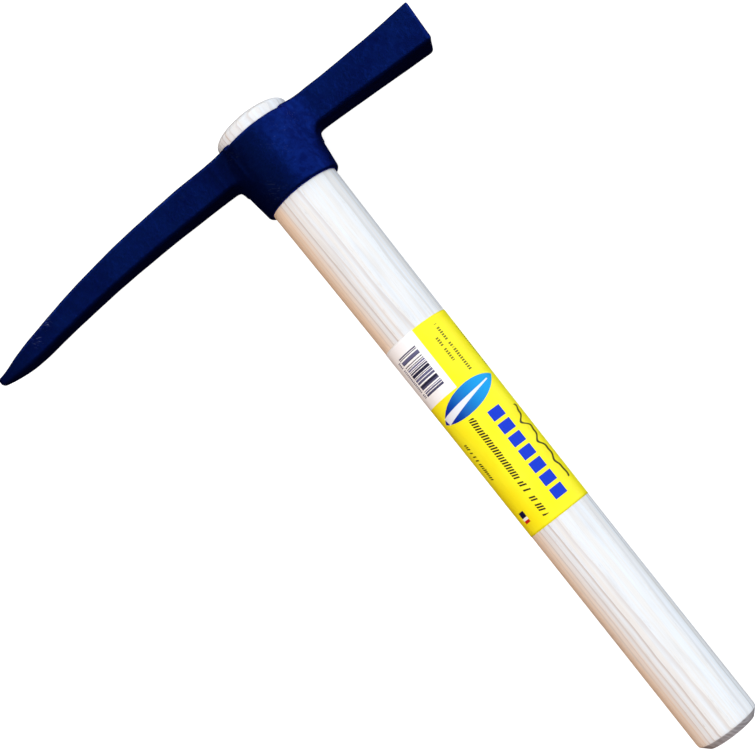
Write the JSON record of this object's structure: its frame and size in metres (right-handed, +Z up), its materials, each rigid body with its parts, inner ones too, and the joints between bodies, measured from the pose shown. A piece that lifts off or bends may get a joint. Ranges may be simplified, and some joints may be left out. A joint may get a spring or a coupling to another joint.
{
  "type": "mason's pick hammer",
  "caption": "Small pick hammer: painted forged head with a long curved pick and a square poll, on a straight ash handle with a printed label.",
  "frame": {"origin": "on the surface the hammer lies on, under the middle of its length and of its head's length", "axes": "+Y runs up the handle from the butt to the domed end, +X points towards the striking face of the poll, +Z is up through the cheek of the head"},
  "size_m": [0.2526, 0.35, 0.044],
  "materials": {
    "enamelled_steel": "dark blue satin enamel over forged steel",
    "ash_wood": "bare sanded ash, pale with open grain",
    "printed_label": "gloss printed film, yellow with blue and white areas"
  },
  "bodies": {
    "root": {"head": "enamelled_steel", "handle": "ash_wood", "label": "printed_label"}
  },
  "joints": []
}
